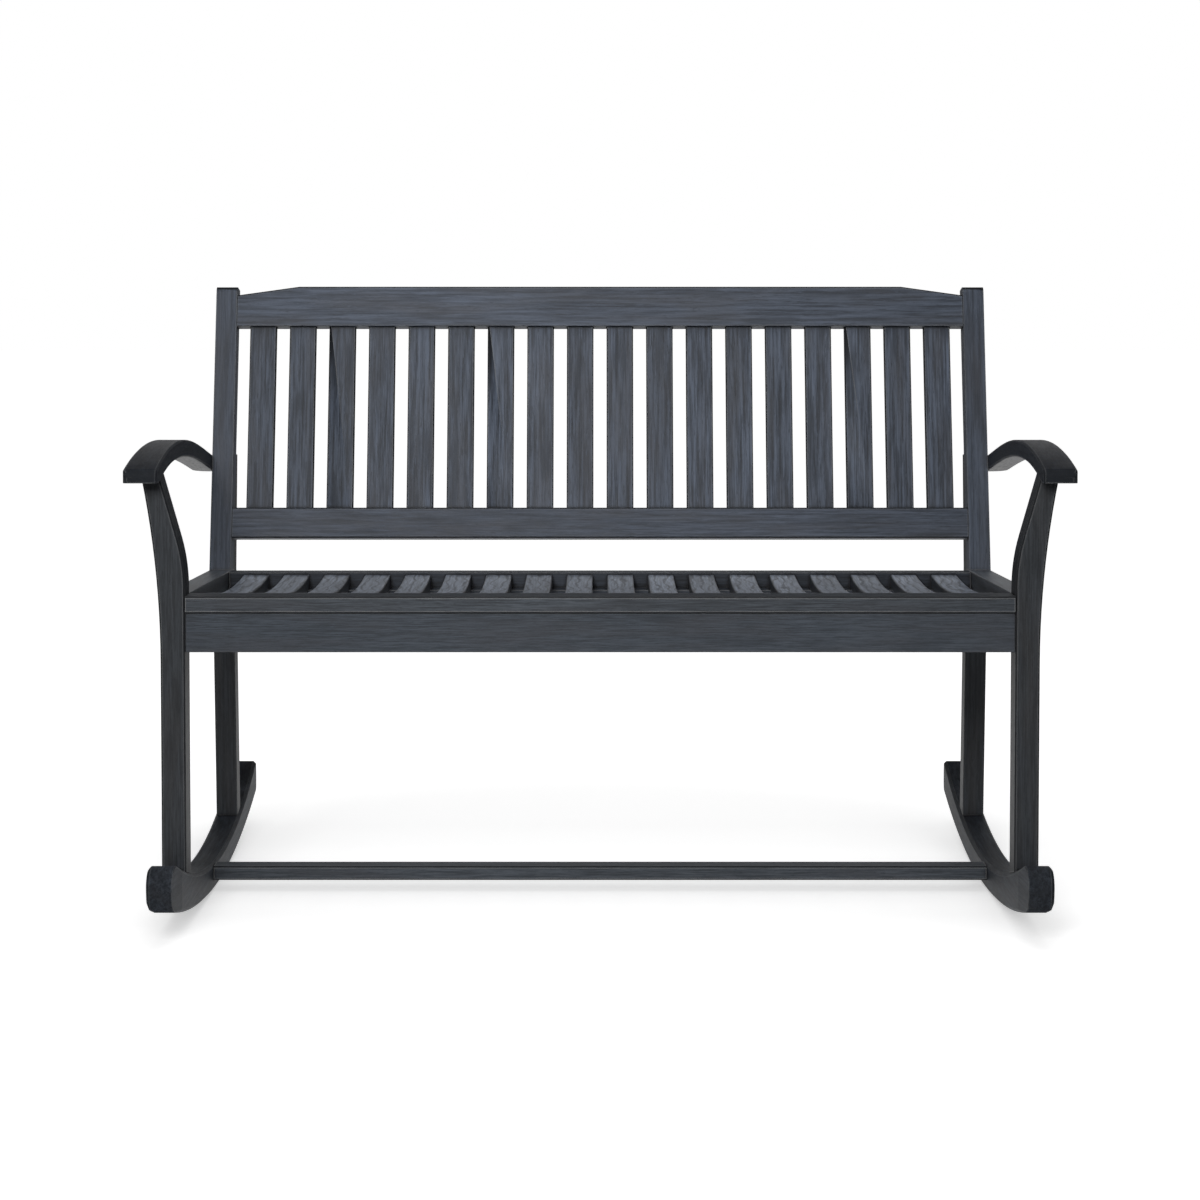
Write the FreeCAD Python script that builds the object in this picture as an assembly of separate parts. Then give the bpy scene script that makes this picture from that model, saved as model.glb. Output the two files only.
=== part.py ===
import FreeCAD, Part
import math
import os

Vector = FreeCAD.Vector

# Rocking bench, in millimetres. X runs along the bench, +Y to the rear and +Z up.
# "Depth" is a distance behind the front faces of the front legs. The finished pieces
# are shifted so that the origin lies on the floor, midway between the rocker ends.

# Seat frame
inner_width = 1148.0          # clear width between the two side frames
leg_width = 34.0              # side rails and front legs, measured along the bench
front_leg_depth = 46.0        # front legs, measured front to back
seat_front_height = 466.0     # top of the seat frame at the front
seat_rear_height = 451.0      # top of the seat frame at the back posts
side_rail_height = 64.0
apron_height = 54.5
apron_thickness = 22.0
apron_setback = 4.0           # apron face behind the leg faces
board_thickness = 23.5        # front seat board
board_depth = 45.0
rear_rail_gap = 1.0           # rear seat rail in front of the posts' feet
rear_rail_thickness = 26.0
rear_rail_height = 66.0

# Seat slats
seat_slat_count = 18
seat_slat_width = 40.0
seat_slat_thickness = 20.0
slat_rear_drop = 4.0           # slats below the top of the rear seat rail
seat_dish = 11.0               # hollow of the seat below a straight line
ledger_thickness = 20.0
ledger_height = 24.0
bearer_thickness = 24.0
bearer_height = 40.0

# Back
back_lean = 13.0              # degrees from upright
post_width = 33.0
post_thickness = 34.0
post_foot_depth = 482.0       # front corner of the post's foot
back_length = 453.0           # posts, along the lean
rail_thickness = 26.0
rail_setback = 1.0            # back rails behind the faces of the posts
top_rail_height = 64.0
top_rail_end_height = 50.0
top_rail_slope_length = 98.0
bottom_rail_height = 48.0
bottom_rail_start = 51.0      # lower edge above the post's foot, along the lean
back_slat_count = 18
back_slat_width = 42.0
back_slat_thickness = 12.0
back_slat_setback = 8.0       # slats behind the faces of the back rails
post_nosing_radius = 9.0

# Front legs above the seat
flare_start_height = 375.0    # where the outer edge starts to curve outwards
flare_radius = 1326.0
knee_height = 512.0           # where the inner edge turns
knee_angle = 15.8             # degrees from upright above the knee
knee_radius = 260.0

# Rear legs
rear_leg_width = 33.0
rear_leg_thickness = 36.0     # across the slope of the leg
rear_foot_depth = 546.0       # front face of the leg at rear_foot_height
rear_foot_height = 58.0
rear_leg_top_height = 626.0
rear_leg_top_thickness = 15.0

# Rockers
rocker_width = 40.0
sole_radius = 1820.0
sole_low_depth = 317.5        # the rocker stands on the floor here
crown_radius = 1290.0         # upper edge
crown_low_depth = 340.0
crown_low_height = 37.0
nose_depth = -120.0
tail_depth = 760.0
nose_bulge = 10.0
nose_top_radius = 26.0
nose_sole_radius = 18.0
nose_flat_narrow = 6.0        # flats round the outer corners of the nose, at their widest:
nose_flat_wide = 17.0         # each takes this much from one face and the narrow size from the other
tail_bulge = 3.0
tail_top_radius = 6.0
tail_sole_radius = 14.0
nose_facet_length = 62.0      # slanted facet on the inner side of the nose
nose_facet_width = 4.5

# Stretcher between the rockers
stretcher_depth = 243.0       # front face
stretcher_thickness = 35.0
stretcher_height = 21.0
stretcher_floor_gap = 17.0

# Armrests
arm_thickness = 24.5
arm_tip_depth = -46.0
arm_tip_top = 643.0
arm_tip_underside = 626.0
arm_shoulder_depth = 15.0
arm_shoulder_top = 657.0
arm_crest_depth = 200.0
arm_crest_top = 670.5
arm_fall_depth = 388.0
arm_fall_top = 652.0
arm_heel_top = 625.0
arm_heel_setback = 11.0        # end of the arm in front of the post's rear face
arm_front_inset = 4.0         # inner edge inside the leg's outer face, in front
arm_front_width = 47.0
arm_heel_width = 33.0
arm_heel_corner_radius = 24.0
arm_tip_roll = 12.0           # rounding of the tip's upper edge
arm_tip_corner_cut = 4.0      # outer corner of the tip, seen from above

# Edges that hands, legs and floors meet
edge_chamfer = 2.0
slat_chamfer = 1.5
rocker_chamfer = 4.0

# Joints
side_play = 0.15              # clearance on each side of a tenon
end_play = 0.5                # clearance beyond the end of a tenon
tenon_thickness = 12.0
tenon_shoulder = 8.0          # how far a tenon stays inside the edges of its piece
frame_tenon_length = 22.0
stub_tenon_length = 10.0
foot_tenon_length = 22.0
arm_tenon_length = 20.0       # above the flat underside of the arm's tip
slat_tenon_length = 10.0
pin_diameter = 8.0
pin_length = 34.0
pin_play = 0.1

# Two places closer than this are the same place
same_place = 0.001

# Places worked out from the sizes above
frame_inner = inner_width / 2
frame_outer = frame_inner + leg_width
leg_middle = frame_inner + leg_width / 2
rocker_inner = leg_middle - rocker_width / 2
rocker_outer = leg_middle + rocker_width / 2
post_inner = frame_outer - post_width
lean_sine = math.sin(math.radians(back_lean))
lean_cosine = math.cos(math.radians(back_lean))
lean_slope = lean_sine / lean_cosine
origin_depth = (nose_depth + tail_depth) / 2
tall = 2 * seat_front_height   # a height above every piece of a side frame
seat_fall = (seat_front_height - seat_rear_height) / (post_foot_depth - front_leg_depth)
post_foot_height = seat_rear_height
rear_rail_depth = post_foot_depth - rear_rail_gap - rear_rail_thickness
seat_slat_rear_height = seat_rear_height - slat_rear_drop


def rail_top(depth):
    """Height of the seat frame's sloping top edge."""
    return seat_front_height - seat_fall * (depth - front_leg_depth)


def post_rear(height):
    """Depth of the leaning rear face of a back post."""
    return post_foot_depth + post_thickness / lean_cosine + (height - post_foot_height) * lean_slope


def sole_height(depth):
    """Height of the rocker's rolling edge."""
    return sole_radius - math.sqrt(sole_radius ** 2 - (depth - sole_low_depth) ** 2)


def crown_height(depth):
    """Height of the rocker's upper edge."""
    rise = crown_radius - math.sqrt(crown_radius ** 2 - (depth - crown_low_depth) ** 2)
    return crown_low_height + rise


arm_heel_depth = post_rear(arm_heel_top) - arm_heel_setback

# Where the rear face of the post meets the top edge of the side rail
kink_depth = post_rear(rail_top(0)) / (1 + seat_fall * lean_slope)
kink_height = rail_top(kink_depth)
rear_leg_slope = (rear_foot_depth - kink_depth) / (kink_height - rear_foot_height)
rear_leg_spread = rear_leg_thickness * math.sqrt(1 + rear_leg_slope ** 2)


def rear_leg_front(height):
    """Depth of the rear leg's front face below the seat."""
    return kink_depth + rear_leg_slope * (kink_height - height)


# Basic solids


def box(x0, x1, d0, d1, z0, z1):
    """A block between two corners."""
    return Part.makeBox(x1 - x0, d1 - d0, z1 - z0, Vector(x0, d0, z0))


def side_prism(outline, x0, x1):
    """A straight-sided outline of depths and heights, as thick as x0 to x1."""
    corners = [Vector(x0, depth, height) for depth, height in outline]
    wire = Part.makePolygon(corners + corners[:1])
    return Part.Face(wire).extrude(Vector(x1 - x0, 0, 0))


def arc(start, middle, end):
    """An arc edge through three points."""
    return Part.Arc(start, middle, end).toShape()


def rounded_outline(edges, radii, normal):
    """A closed outline of arcs, with the corner after each one rounded to its radius."""
    edges = list(edges)
    plane = Part.Plane(edges[0].valueAt(edges[0].FirstParameter), normal)
    roundings = []
    for number, radius in enumerate(radii):
        following = (number + 1) % len(edges)
        corner = edges[number].valueAt(edges[number].LastParameter)
        tool = Part.ChFi2d.FilletAlgo(edges[number], edges[following], plane)
        tool.perform(radius)
        rounding, edges[number], edges[following] = tool.result(corner)
        roundings.append(rounding)
    in_order = [edge for pair in zip(edges, roundings) for edge in pair]
    return Part.Wire(in_order)


def rod(diameter, length, start, direction):
    """A round bar."""
    return Part.makeCylinder(diameter / 2, length, start, direction)


def edges_along(shape, direction):
    """The straight edges of a shape that run in one direction."""
    found = []
    for edge in shape.Edges:
        if isinstance(edge.Curve, Part.Line) and edge.Curve.Direction.cross(direction).Length < same_place:
            found.append(edge)
    return found


def flat_to(shape, axis, value):
    """The edges that lie in the plane where X, depth or height (0, 1 or 2) has one value."""
    found = []
    for edge in shape.Edges:
        box_of_edge = edge.BoundBox
        low = (box_of_edge.XMin, box_of_edge.YMin, box_of_edge.ZMin)[axis]
        high = (box_of_edge.XMax, box_of_edge.YMax, box_of_edge.ZMax)[axis]
        if abs(low - value) < same_place and abs(high - value) < same_place:
            found.append(edge)
    return found


def edge_across(shape, depth, height):
    """The straight edge along X that passes through one depth and height."""
    return [
        edge for edge in edges_along(shape, Vector(1, 0, 0))
        if math.hypot(edge.CenterOfMass.y - depth, edge.CenterOfMass.z - height) < same_place
    ]


def eased_bar(bar):
    """A cross bar with the four edges along it chamfered."""
    return bar.makeChamfer(edge_chamfer, edges_along(bar, Vector(1, 0, 0)))


def mortise(x0, x1, d0, d1, z0, z1, along):
    """The hole for a block-shaped tenon: side play, and end play on the axis that it runs along."""
    play = [side_play, side_play, side_play]
    play[along] = end_play
    return box(x0 - play[0], x1 + play[0], d0 - play[1], d1 + play[1], z0 - play[2], z1 + play[2])


def mirrored(shape):
    """The same piece on the other side of the bench."""
    return shape.mirror(Vector(0, 0, 0), Vector(1, 0, 0))


# Rockers


def rocker_blank():
    """The right-hand rocker before its mortises: two long arcs with rounded ends."""
    def sole(depth):
        return Vector(rocker_inner, depth, sole_height(depth))

    def crown(depth):
        return Vector(rocker_inner, depth, crown_height(depth))

    nose_root = nose_depth + nose_bulge
    tail_root = tail_depth - tail_bulge
    nose_tip = Vector(rocker_inner, nose_depth, (sole_height(nose_root) + crown_height(nose_root)) / 2)
    tail_tip = Vector(rocker_inner, tail_depth, (sole_height(tail_root) + crown_height(tail_root)) / 2)
    outline = [
        arc(sole(nose_root), sole(sole_low_depth), sole(tail_root)),
        arc(sole(tail_root), tail_tip, crown(tail_root)),
        arc(crown(tail_root), crown(crown_low_depth), crown(nose_root)),
        arc(crown(nose_root), nose_tip, sole(nose_root)),
    ]
    radii = [tail_sole_radius, tail_top_radius, nose_top_radius, nose_sole_radius]
    rounded = rounded_outline(outline, radii, Vector(1, 0, 0))
    return Part.Face(rounded).extrude(Vector(rocker_width, 0, 0))


def nose_edge_cuts():
    """What is cut from the outer corners of the nose: flats that run out towards the leg."""
    front = nose_depth - nose_bulge
    rear = nose_depth + nose_facet_length
    cuts = []
    for edge_height, outward in [(sole_height, -1), (crown_height, 1)]:
        for across, down in [(nose_flat_narrow, nose_flat_wide), (nose_flat_wide, nose_flat_narrow)]:
            corners = [
                Vector(rocker_outer - across, front, edge_height(front)),
                Vector(rocker_outer, front, edge_height(front) - outward * down),
                Vector(rocker_outer, rear, edge_height(rear)),
            ]
            flat = Part.Face(Part.makePolygon(corners + corners[:1]))
            cuts.append(flat.extrude(Vector(nose_flat_wide, 0, outward * nose_flat_wide)))
    return cuts


def foot_tenons():
    """The pegs of both legs of one side that stand in the rocker, and their mortises."""
    x0 = leg_middle - tenon_thickness / 2
    x1 = leg_middle + tenon_thickness / 2
    rear_start = rear_leg_front(rear_foot_height) + tenon_shoulder / 2
    rear_end = rear_start + rear_leg_thickness - tenon_shoulder
    front_end = front_leg_depth - tenon_shoulder
    front_floor = crown_height(front_end) - foot_tenon_length
    rear_floor = crown_height(rear_start) - foot_tenon_length
    front_peg = (x0, x1, tenon_shoulder, front_end, front_floor, crown_height(0))
    rear_peg = (x0, x1, rear_start, rear_end, rear_floor, crown_height(rear_end) + tenon_shoulder)
    return front_peg, rear_peg


def stretcher_peg():
    """The corners of the stretcher's right-hand tenon."""
    d0 = stretcher_depth + tenon_shoulder / 2
    d1 = stretcher_depth + stretcher_thickness - tenon_shoulder / 2
    z0 = stretcher_floor_gap + tenon_shoulder / 2
    z1 = stretcher_floor_gap + stretcher_height - tenon_shoulder / 2
    return rocker_inner, rocker_inner + frame_tenon_length, d0, d1, z0, z1


def rocker(blank):
    """The right-hand rocker with its eased edges, nose facet, mortises and pin holes."""
    body = blank.copy()
    long_edges = flat_to(body, 0, rocker_inner) + flat_to(body, 0, rocker_outer)
    body = body.makeChamfer(rocker_chamfer, long_edges)
    facet_end = nose_depth - nose_facet_length
    slope = nose_facet_width / nose_facet_length
    facet = [
        Vector(rocker_inner, nose_depth + nose_facet_length, -tall),
        Vector(rocker_inner + 2 * nose_facet_width, nose_depth - nose_facet_length, -tall),
        Vector(rocker_inner - 2 * slope * rocker_width, facet_end, -tall),
    ]
    wedge = Part.Face(Part.makePolygon(facet + facet[:1])).extrude(Vector(0, 0, 2 * tall))
    body = body.cut([wedge] + nose_edge_cuts())
    front_peg, rear_peg = foot_tenons()
    body = body.cut(mortise(*front_peg, along=2))
    body = body.cut(mortise(*rear_peg, along=2))
    body = body.cut(mortise(*stretcher_peg(), along=0))
    for hole in rocker_pins(pin_diameter + 2 * pin_play, pin_length + end_play):
        body = body.cut(hole)
    return body


def rocker_pins(diameter, length):
    """Pins from the rocker's outer side through the leg tenons, or the holes for them."""
    made = []
    for peg in foot_tenons():
        depth = (peg[2] + peg[3]) / 2
        height = crown_height(depth) - foot_tenon_length / 2
        start = Vector(rocker_outer - length, depth, height)
        made.append(rod(diameter, length, start, Vector(1, 0, 0)))
    return made


def stretcher():
    """The cross bar between the rockers, with a tenon at each end."""
    d1 = stretcher_depth + stretcher_thickness
    z1 = stretcher_floor_gap + stretcher_height
    bar = eased_bar(box(-rocker_inner, rocker_inner, stretcher_depth, d1, stretcher_floor_gap, z1))
    peg = box(*stretcher_peg())
    return bar.fuse([peg, mirrored(peg)])


# Side frames


def under_arm():
    """All the space below the arm's underside, used to end the front leg."""
    outline = [arm_under_edge()]
    start = outline[0].valueAt(outline[0].FirstParameter)
    end = outline[0].valueAt(outline[0].LastParameter)
    low_start = Vector(start.x, start.y, -tall)
    low_end = Vector(end.x, end.y, -tall)
    wire = Part.Wire(outline + [
        Part.makeLine(end, low_end),
        Part.makeLine(low_end, low_start),
        Part.makeLine(low_start, start),
    ])
    return Part.Face(wire).extrude(Vector(2 * frame_outer, 0, 0))


def flared_edge(height):
    """X of the front leg's outer edge, above where it starts to curve."""
    rise = height - flare_start_height
    return frame_outer + flare_radius - math.sqrt(flare_radius ** 2 - rise ** 2)


def kneed_edge(height):
    """X of the front leg's inner edge, above the knee."""
    return frame_inner + (height - knee_height) * math.tan(math.radians(knee_angle))


def front_leg_outline():
    """The leg seen from the front: straight, then curved outside and kneed inside."""
    half_way = (flare_start_height + arm_crest_top) / 2
    foot_in = Vector(frame_inner, 0, 0)
    foot_out = Vector(frame_outer, 0, 0)
    flare_start = Vector(frame_outer, 0, flare_start_height)
    flare_middle = Vector(flared_edge(half_way), 0, half_way)
    flare_end = Vector(flared_edge(arm_crest_top), 0, arm_crest_top)
    knee = Vector(frame_inner, 0, knee_height)
    top_in = Vector(kneed_edge(arm_crest_top), 0, arm_crest_top)
    return Part.Wire([
        Part.makeLine(foot_in, foot_out),
        Part.makeLine(foot_out, flare_start),
        arc(flare_start, flare_middle, flare_end),
        Part.makeLine(flare_end, top_in),
        Part.makeLine(top_in, knee),
        Part.makeLine(knee, foot_in),
    ])


def front_leg_peg():
    """The corners of the tenon that holds the arm on the right front leg."""
    middle = (kneed_edge(arm_tip_underside) + flared_edge(arm_tip_underside)) / 2
    x0 = middle - tenon_thickness / 2
    d1 = front_leg_depth - tenon_shoulder
    top = arm_tip_underside + arm_tenon_length
    return x0, x0 + tenon_thickness, tenon_shoulder, d1, arm_tip_underside - tenon_shoulder, top


def front_leg(rocker_body, arm_space):
    """The right-hand front leg, with its foot cut to the rocker and its head to the arm."""
    body = Part.Face(front_leg_outline()).extrude(Vector(0, front_leg_depth, 0))
    knee_edges = [
        edge for edge in edges_along(body, Vector(0, 1, 0))
        if abs(edge.BoundBox.ZMax - knee_height) < same_place
    ]
    body = body.makeFillet(knee_radius, knee_edges)
    upright_edges = [
        edge for edge in flat_to(body, 1, 0) + flat_to(body, 1, front_leg_depth)
        if edge.BoundBox.ZLength > edge_chamfer
    ]
    body = body.makeChamfer(edge_chamfer, upright_edges)
    body = body.common(arm_space)
    body = body.cut(rocker_body)
    body = keep_highest(body)
    front_peg, rear_peg = foot_tenons()
    body = body.fuse([box(*front_peg), box(*front_leg_peg())])
    for hole in [apron_mortise(), board_mortise(), rail_front_mortise()]:
        body = body.cut(hole)
    for hole in rocker_pins(pin_diameter + 2 * pin_play, pin_length + end_play):
        body = body.cut(hole)
    return body


def keep_highest(shape):
    """The solid that reaches highest, where a cut left more than one."""
    return max(shape.Solids, key=lambda solid: solid.BoundBox.ZMax)


def rear_leg(rocker_body):
    """The right-hand rear leg: raked below the seat, and behind the leaning post above it."""
    x0 = frame_outer - rear_leg_width
    top_front = post_rear(rear_leg_top_height)
    outline = [
        (rear_leg_front(0), 0),
        (kink_depth, kink_height),
        (top_front, rear_leg_top_height),
        (top_front + rear_leg_top_thickness, rear_leg_top_height),
        (kink_depth + rear_leg_spread, kink_height),
        (rear_leg_front(0) + rear_leg_spread, 0),
    ]
    body = side_prism(outline, x0, frame_outer)
    body = keep_highest(body.cut(rocker_body))
    front_peg, rear_peg = foot_tenons()
    body = body.fuse(box(*rear_peg))
    body = body.cut(mortise(*rail_rear_peg(), along=1))
    for hole in rocker_pins(pin_diameter + 2 * pin_play, pin_length + end_play):
        body = body.cut(hole)
    return body


def rail_front_peg():
    """The corners of the side rail's tenon in the front leg."""
    x0 = leg_middle - tenon_thickness / 2
    z0 = seat_front_height - side_rail_height + tenon_shoulder
    d0 = front_leg_depth - frame_tenon_length
    return x0, x0 + tenon_thickness, d0, front_leg_depth, z0, seat_front_height - 2 * tenon_shoulder


def rail_front_mortise():
    """The hole for it in the front leg."""
    return mortise(*rail_front_peg(), along=1)


def rail_rear_peg():
    """The corners of the side rail's tenon in the rear leg."""
    x0 = leg_middle - tenon_thickness / 2
    z0 = kink_height - side_rail_height + tenon_shoulder
    z1 = kink_height - 2 * tenon_shoulder
    return x0, x0 + tenon_thickness, kink_depth - tenon_shoulder, kink_depth + frame_tenon_length, z0, z1


def side_rail():
    """The right-hand side rail between the legs, with its sloping top edge."""
    def bottom(depth):
        return rail_top(depth) - side_rail_height

    shoulder = rear_leg_front(bottom(kink_depth))
    outline = [
        (front_leg_depth, rail_top(front_leg_depth)),
        (kink_depth, kink_height),
        (shoulder, bottom(kink_depth)),
        (front_leg_depth, bottom(front_leg_depth)),
    ]
    body = side_prism(outline, frame_inner, frame_outer)
    body = body.fuse([box(*rail_front_peg()), box(*rail_rear_peg())])
    body = body.cut(mortise(*post_peg(), along=2))
    body = body.cut(mortise(*rear_rail_peg(), along=0))
    return body.cut(mortise(*bearer_peg(), along=0))


# Front and rear of the seat frame


def apron_peg():
    """The corners of the apron's tenon in the right front leg."""
    d0 = apron_setback + (apron_thickness - tenon_thickness) / 2
    top = seat_front_height - board_thickness
    return (frame_inner, frame_inner + frame_tenon_length, d0, d0 + tenon_thickness,
            top - apron_height + tenon_shoulder, top - tenon_shoulder)


def apron_mortise():
    """The hole for it in the front leg."""
    return mortise(*apron_peg(), along=0)


def front_apron():
    """The apron under the front board, tenoned into both front legs."""
    top = seat_front_height - board_thickness
    d1 = apron_setback + apron_thickness
    body = box(-frame_inner, frame_inner, apron_setback, d1, top - apron_height, top)
    peg = box(*apron_peg())
    return body.fuse([peg, mirrored(peg)])


def board_peg():
    """The corners of the front board's stub tenon in the right front leg."""
    z0 = seat_front_height - board_thickness / 2 - tenon_shoulder / 2
    return (frame_inner, frame_inner + stub_tenon_length, tenon_shoulder,
            board_depth - tenon_shoulder, z0, z0 + tenon_shoulder)


def board_mortise():
    """The hole for it in the front leg."""
    return mortise(*board_peg(), along=0)


def seat_front_board():
    """The board that ends the seat in front, lying on the apron."""
    z0 = seat_front_height - board_thickness
    body = eased_bar(box(-frame_inner, frame_inner, 0, board_depth, z0, seat_front_height))
    peg = box(*board_peg())
    return body.fuse([peg, mirrored(peg)])


def rear_rail_peg():
    """The corners of the rear seat rail's tenon in the right side rail."""
    middle = rear_rail_depth + rear_rail_thickness / 2
    z1 = seat_rear_height - tenon_shoulder
    return (frame_inner, frame_inner + frame_tenon_length, middle - tenon_thickness / 2,
            middle + tenon_thickness / 2, z1 - rear_rail_height / 2, z1)


def rear_seat_rail():
    """The rail behind the seat slats, tenoned between the side rails."""
    z1 = seat_rear_height
    d1 = rear_rail_depth + rear_rail_thickness
    body = box(-frame_inner, frame_inner, rear_rail_depth, d1, z1 - rear_rail_height, z1)
    peg = box(*rear_rail_peg())
    return body.fuse([peg, mirrored(peg)])


# Seat slats and what carries them


def seat_profile(x0, x1):
    """The dished section of the seat slats, as wide as x0 to x1."""
    middle_depth = (board_depth + rear_rail_depth) / 2
    middle_height = (seat_front_height + seat_slat_rear_height) / 2 - seat_dish
    front = Vector(x0, board_depth, seat_front_height)
    middle = Vector(x0, middle_depth, middle_height)
    rear = Vector(x0, rear_rail_depth, seat_slat_rear_height)
    down = Vector(0, 0, -seat_slat_thickness)
    outline = Part.Wire([
        arc(front, middle, rear),
        Part.makeLine(rear, rear + down),
        arc(rear + down, middle + down, front + down),
        Part.makeLine(front + down, front),
    ])
    return Part.Face(outline).extrude(Vector(x1 - x0, 0, 0))


def seat_slat(x0):
    """One seat slat from its left edge, with its two upper edges eased."""
    slat = seat_profile(x0, x0 + seat_slat_width)
    upper_edges = [
        edge for edge in flat_to(slat, 0, x0) + flat_to(slat, 0, x0 + seat_slat_width)
        if edge.BoundBox.YLength > slat_chamfer and edge.BoundBox.ZMax > seat_front_height - slat_chamfer
    ]
    return slat.makeChamfer(slat_chamfer, upper_edges)


def slat_starts(count, width, span):
    """Left edges of slats spread evenly over a span, with equal gaps."""
    gap = (span - count * width) / (count + 1)
    return [-span / 2 + gap + number * (width + gap) for number in range(count)]


def front_ledger(slats_above):
    """The ledger on the apron that carries the slats' front ends."""
    d0 = apron_setback + apron_thickness
    top = seat_front_height - seat_slat_thickness
    bar = box(-frame_inner, frame_inner, d0, board_depth + ledger_thickness, top - ledger_height, top)
    under_board = seat_front_height - board_thickness
    notch = box(-frame_inner, frame_inner, d0, board_depth, under_board, tall)
    return bar.cut([notch, slats_above])


def rear_ledger(slats_above):
    """The ledger on the rear rail that carries the slats' rear ends."""
    top = seat_slat_rear_height - seat_slat_thickness / 2
    d0 = rear_rail_depth - ledger_thickness
    bottom_gap = seat_slat_thickness / 2
    bar = box(-frame_inner, frame_inner, d0, rear_rail_depth, top - bottom_gap - ledger_height, top)
    return bar.cut(slats_above)


def bearer_top():
    """Height of the slats' underside at the lowest point of the dish."""
    middle = (seat_front_height + seat_slat_rear_height) / 2 - seat_dish
    return middle - seat_slat_thickness


def bearer_peg():
    """The corners of the bearer's stub tenon in the right side rail."""
    middle = (board_depth + rear_rail_depth) / 2
    z0 = bearer_top() - bearer_height + 2 * tenon_shoulder
    z1 = bearer_top() - tenon_shoulder / 2
    return (frame_inner, frame_inner + stub_tenon_length, middle - tenon_thickness / 2,
            middle + tenon_thickness / 2, z0, z1)


def seat_bearer(slats_above):
    """The bar under the middle of the slats, stub-tenoned between the side rails."""
    middle = (board_depth + rear_rail_depth) / 2
    d0 = middle - bearer_thickness / 2
    d1 = middle + bearer_thickness / 2
    top = bearer_top() + seat_dish / 2
    bar = box(-frame_inner, frame_inner, d0, d1, bearer_top() - bearer_height, top)
    peg = box(*bearer_peg())
    return bar.cut(slats_above).fuse([peg, mirrored(peg)])


# Back, built upright and then leaned


def lean(shape):
    """Tip a piece of the back to its lean and set it on the seat frame."""
    shape.rotate(Vector(0, 0, 0), Vector(1, 0, 0), -back_lean)
    shape.translate(Vector(0, post_foot_depth, post_foot_height))
    return shape


def back_rail_span():
    """Front and rear faces of the back rails, upright."""
    return rail_setback, rail_setback + rail_thickness


def back_rail_peg(low, high):
    """The corners of a back rail's tenon in the right post."""
    d0, d1 = back_rail_span()
    middle = (d0 + d1) / 2
    return (post_inner, post_inner + frame_tenon_length, middle - tenon_thickness / 2,
            middle + tenon_thickness / 2, low + tenon_shoulder, high - tenon_shoulder)


def top_rail_ends():
    """Lower edge and end height of the top rail, along the lean."""
    low = back_length - top_rail_height
    return low, low + top_rail_end_height


def post_peg():
    """The corners of the post's tenon in the side rail, in place."""
    x0 = (post_inner + frame_outer) / 2 - tenon_thickness / 2
    d0 = post_foot_depth + tenon_shoulder
    d1 = post_rear(post_foot_height) - tenon_shoulder
    z0 = post_foot_height - frame_tenon_length
    return x0, x0 + tenon_thickness, d0, d1, z0, post_foot_height + tenon_shoulder


def back_post():
    """The right-hand back post: rounded at the top front, tenoned at the foot."""
    body = box(post_inner, frame_outer, 0, post_thickness, -post_thickness, back_length)
    body = body.makeFillet(post_nosing_radius, edge_across(body, 0, back_length))
    low, high = top_rail_ends()
    body = body.cut(mortise(*back_rail_peg(low, high), along=0))
    bottom_high = bottom_rail_start + bottom_rail_height
    body = body.cut(mortise(*back_rail_peg(bottom_rail_start, bottom_high), along=0))
    body = lean(body)
    below_rail = side_prism([
        (0, rail_top(0)),
        (2 * rear_foot_depth, rail_top(2 * rear_foot_depth)),
        (2 * rear_foot_depth, 0),
        (0, 0),
    ], frame_inner, frame_outer)
    body = body.cut(below_rail)
    return body.fuse(box(*post_peg())).cut(arm_pin_hole())


def slat_slot(x0, low, high):
    """The mortise for one end of a back slat."""
    d0 = rail_setback + back_slat_setback
    return mortise(x0, x0 + back_slat_width, d0, d0 + back_slat_thickness, low, high, along=2)


def back_starts():
    """Left edges of the back slats."""
    return slat_starts(back_slat_count, back_slat_width, 2 * post_inner)


def back_top_rail():
    """The top rail: raised in the middle, sloping to its ends, mortised for the slats."""
    d0, d1 = back_rail_span()
    low, end_high = top_rail_ends()
    corners = [
        Vector(-post_inner, d0, low),
        Vector(post_inner, d0, low),
        Vector(post_inner, d0, end_high),
        Vector(post_inner - top_rail_slope_length, d0, back_length),
        Vector(top_rail_slope_length - post_inner, d0, back_length),
        Vector(-post_inner, d0, end_high),
    ]
    body = Part.Face(Part.makePolygon(corners + corners[:1])).extrude(Vector(0, rail_thickness, 0))
    upper_edges = [
        edge for edge in flat_to(body, 1, d0) + flat_to(body, 1, d1)
        if edge.BoundBox.ZMin > end_high - edge_chamfer
    ]
    body = body.makeChamfer(edge_chamfer, upper_edges)
    peg = box(*back_rail_peg(low, end_high))
    body = body.fuse([peg, mirrored(peg)])
    slots = [slat_slot(x0, low - end_play, low + slat_tenon_length) for x0 in back_starts()]
    return lean(body.cut(slots))


def back_bottom_rail():
    """The bottom rail of the back, mortised for the slats."""
    d0, d1 = back_rail_span()
    high = bottom_rail_start + bottom_rail_height
    body = eased_bar(box(-post_inner, post_inner, d0, d1, bottom_rail_start, high))
    peg = box(*back_rail_peg(bottom_rail_start, high))
    body = body.fuse([peg, mirrored(peg)])
    slots = [slat_slot(x0, high - slat_tenon_length, high + end_play) for x0 in back_starts()]
    return lean(body.cut(slots))


def back_slat(x0):
    """One upright slat of the back, held in both rails."""
    d0 = rail_setback + back_slat_setback
    low = bottom_rail_start + bottom_rail_height - slat_tenon_length
    high = back_length - top_rail_height + slat_tenon_length
    slat = box(x0, x0 + back_slat_width, d0, d0 + back_slat_thickness, low, high)
    return lean(slat.makeChamfer(slat_chamfer, edges_along(slat, Vector(0, 0, 1))))


# Armrests


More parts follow.
